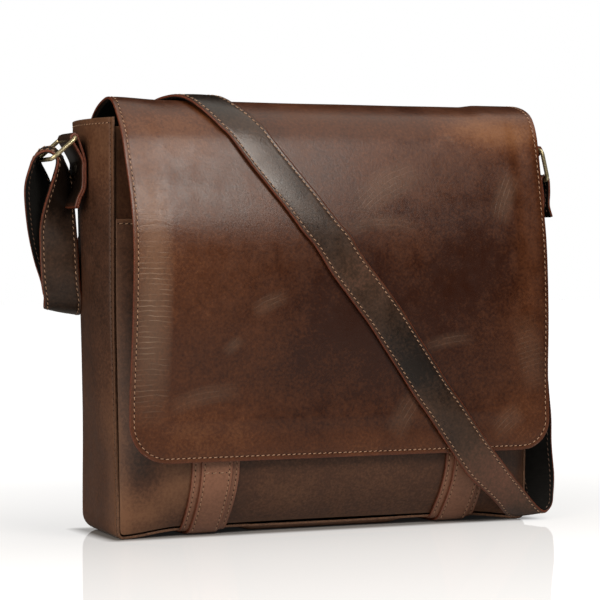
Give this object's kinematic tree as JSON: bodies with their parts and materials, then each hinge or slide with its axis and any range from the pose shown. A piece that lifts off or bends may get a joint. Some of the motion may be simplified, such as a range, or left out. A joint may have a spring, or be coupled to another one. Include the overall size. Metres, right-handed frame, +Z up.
{
  "type": "leather messenger bag",
  "caption": "Soft hollow messenger bag in oiled brown leather with a long front flap, a front pocket under it and a shoulder strap passed once round the body.",
  "frame": {"origin": "on the floor, under the middle of the base", "axes": "+X to the right and +Y to the back, seen from the front, and +Z up"},
  "size_m": [0.4896, 0.142, 0.3641],
  "materials": {
    "body_leather": "oiled pull-up, semi-gloss",
    "flap_leather": "oiled pull-up, semi-gloss",
    "strap_leather": "oiled pull-up, semi-gloss",
    "black_lining": "matt woven",
    "antique_brass": "antique, polished by wear",
    "dark_rivet": "dark antique"
  },
  "bodies": {
    "root": {"gusset": "body_leather", "front_panel": "body_leather", "back_panel": "body_leather", "front_pocket": "body_leather", "flap": "flap_leather", "left_closure_strap": "strap_leather", "right_closure_strap": "strap_leather", "left_closure_overlay": "strap_leather", "right_closure_overlay": "strap_leather", "left_ring_tab": "strap_leather", "right_ring_tab": "strap_leather", "shoulder_strap": "strap_leather", "flap_lining": "black_lining", "shoulder_strap_backing": "black_lining", "left_ring": "antique_brass", "right_ring": "antique_brass", "left_tab_rivet": "dark_rivet", "right_tab_rivet": "dark_rivet"}
  },
  "joints": []
}
